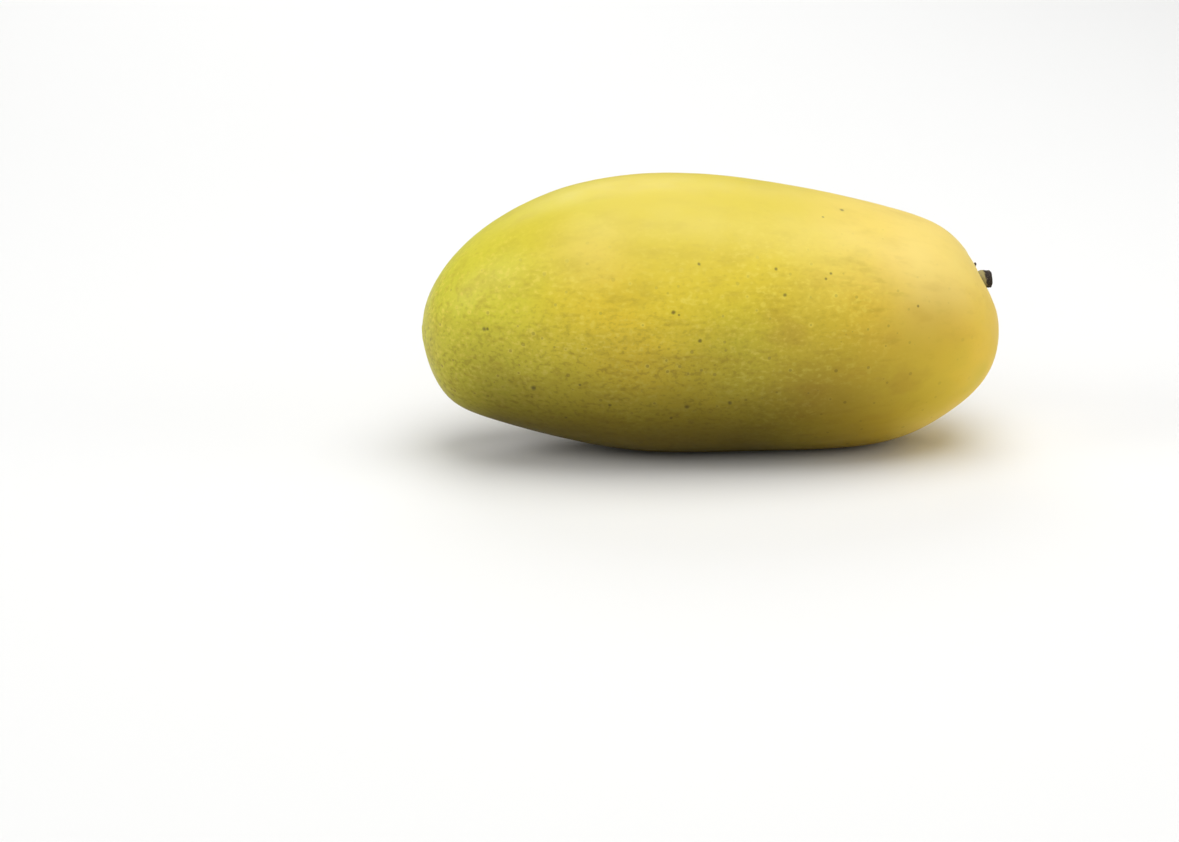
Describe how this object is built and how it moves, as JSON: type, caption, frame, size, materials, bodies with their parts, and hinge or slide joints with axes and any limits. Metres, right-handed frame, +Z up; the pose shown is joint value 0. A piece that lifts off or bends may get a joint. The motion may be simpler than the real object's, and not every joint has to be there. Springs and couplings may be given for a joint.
{
  "type": "mango",
  "caption": "Ripe long mango, whole, resting on its lower edge, with a short dry stalk stub in a shallow pit at its broader end.",
  "frame": {"origin": "on the surface that the fruit rests on, under the middle of the whole object's box", "axes": "+X along the fruit from the blossom end to the stalk end, +Y away from the cheek that the picture shows, +Z up"},
  "size_m": [0.1558, 0.067, 0.0746],
  "materials": {
    "skin": "smooth waxy mango skin, yellow with green at the blossom end, fine pale dots and a few brown specks",
    "stalk_wood": "dry grey-brown bark, nearly black at the broken end"
  },
  "bodies": {
    "root": {"fruit": "skin", "stem": "stalk_wood"}
  },
  "joints": []
}
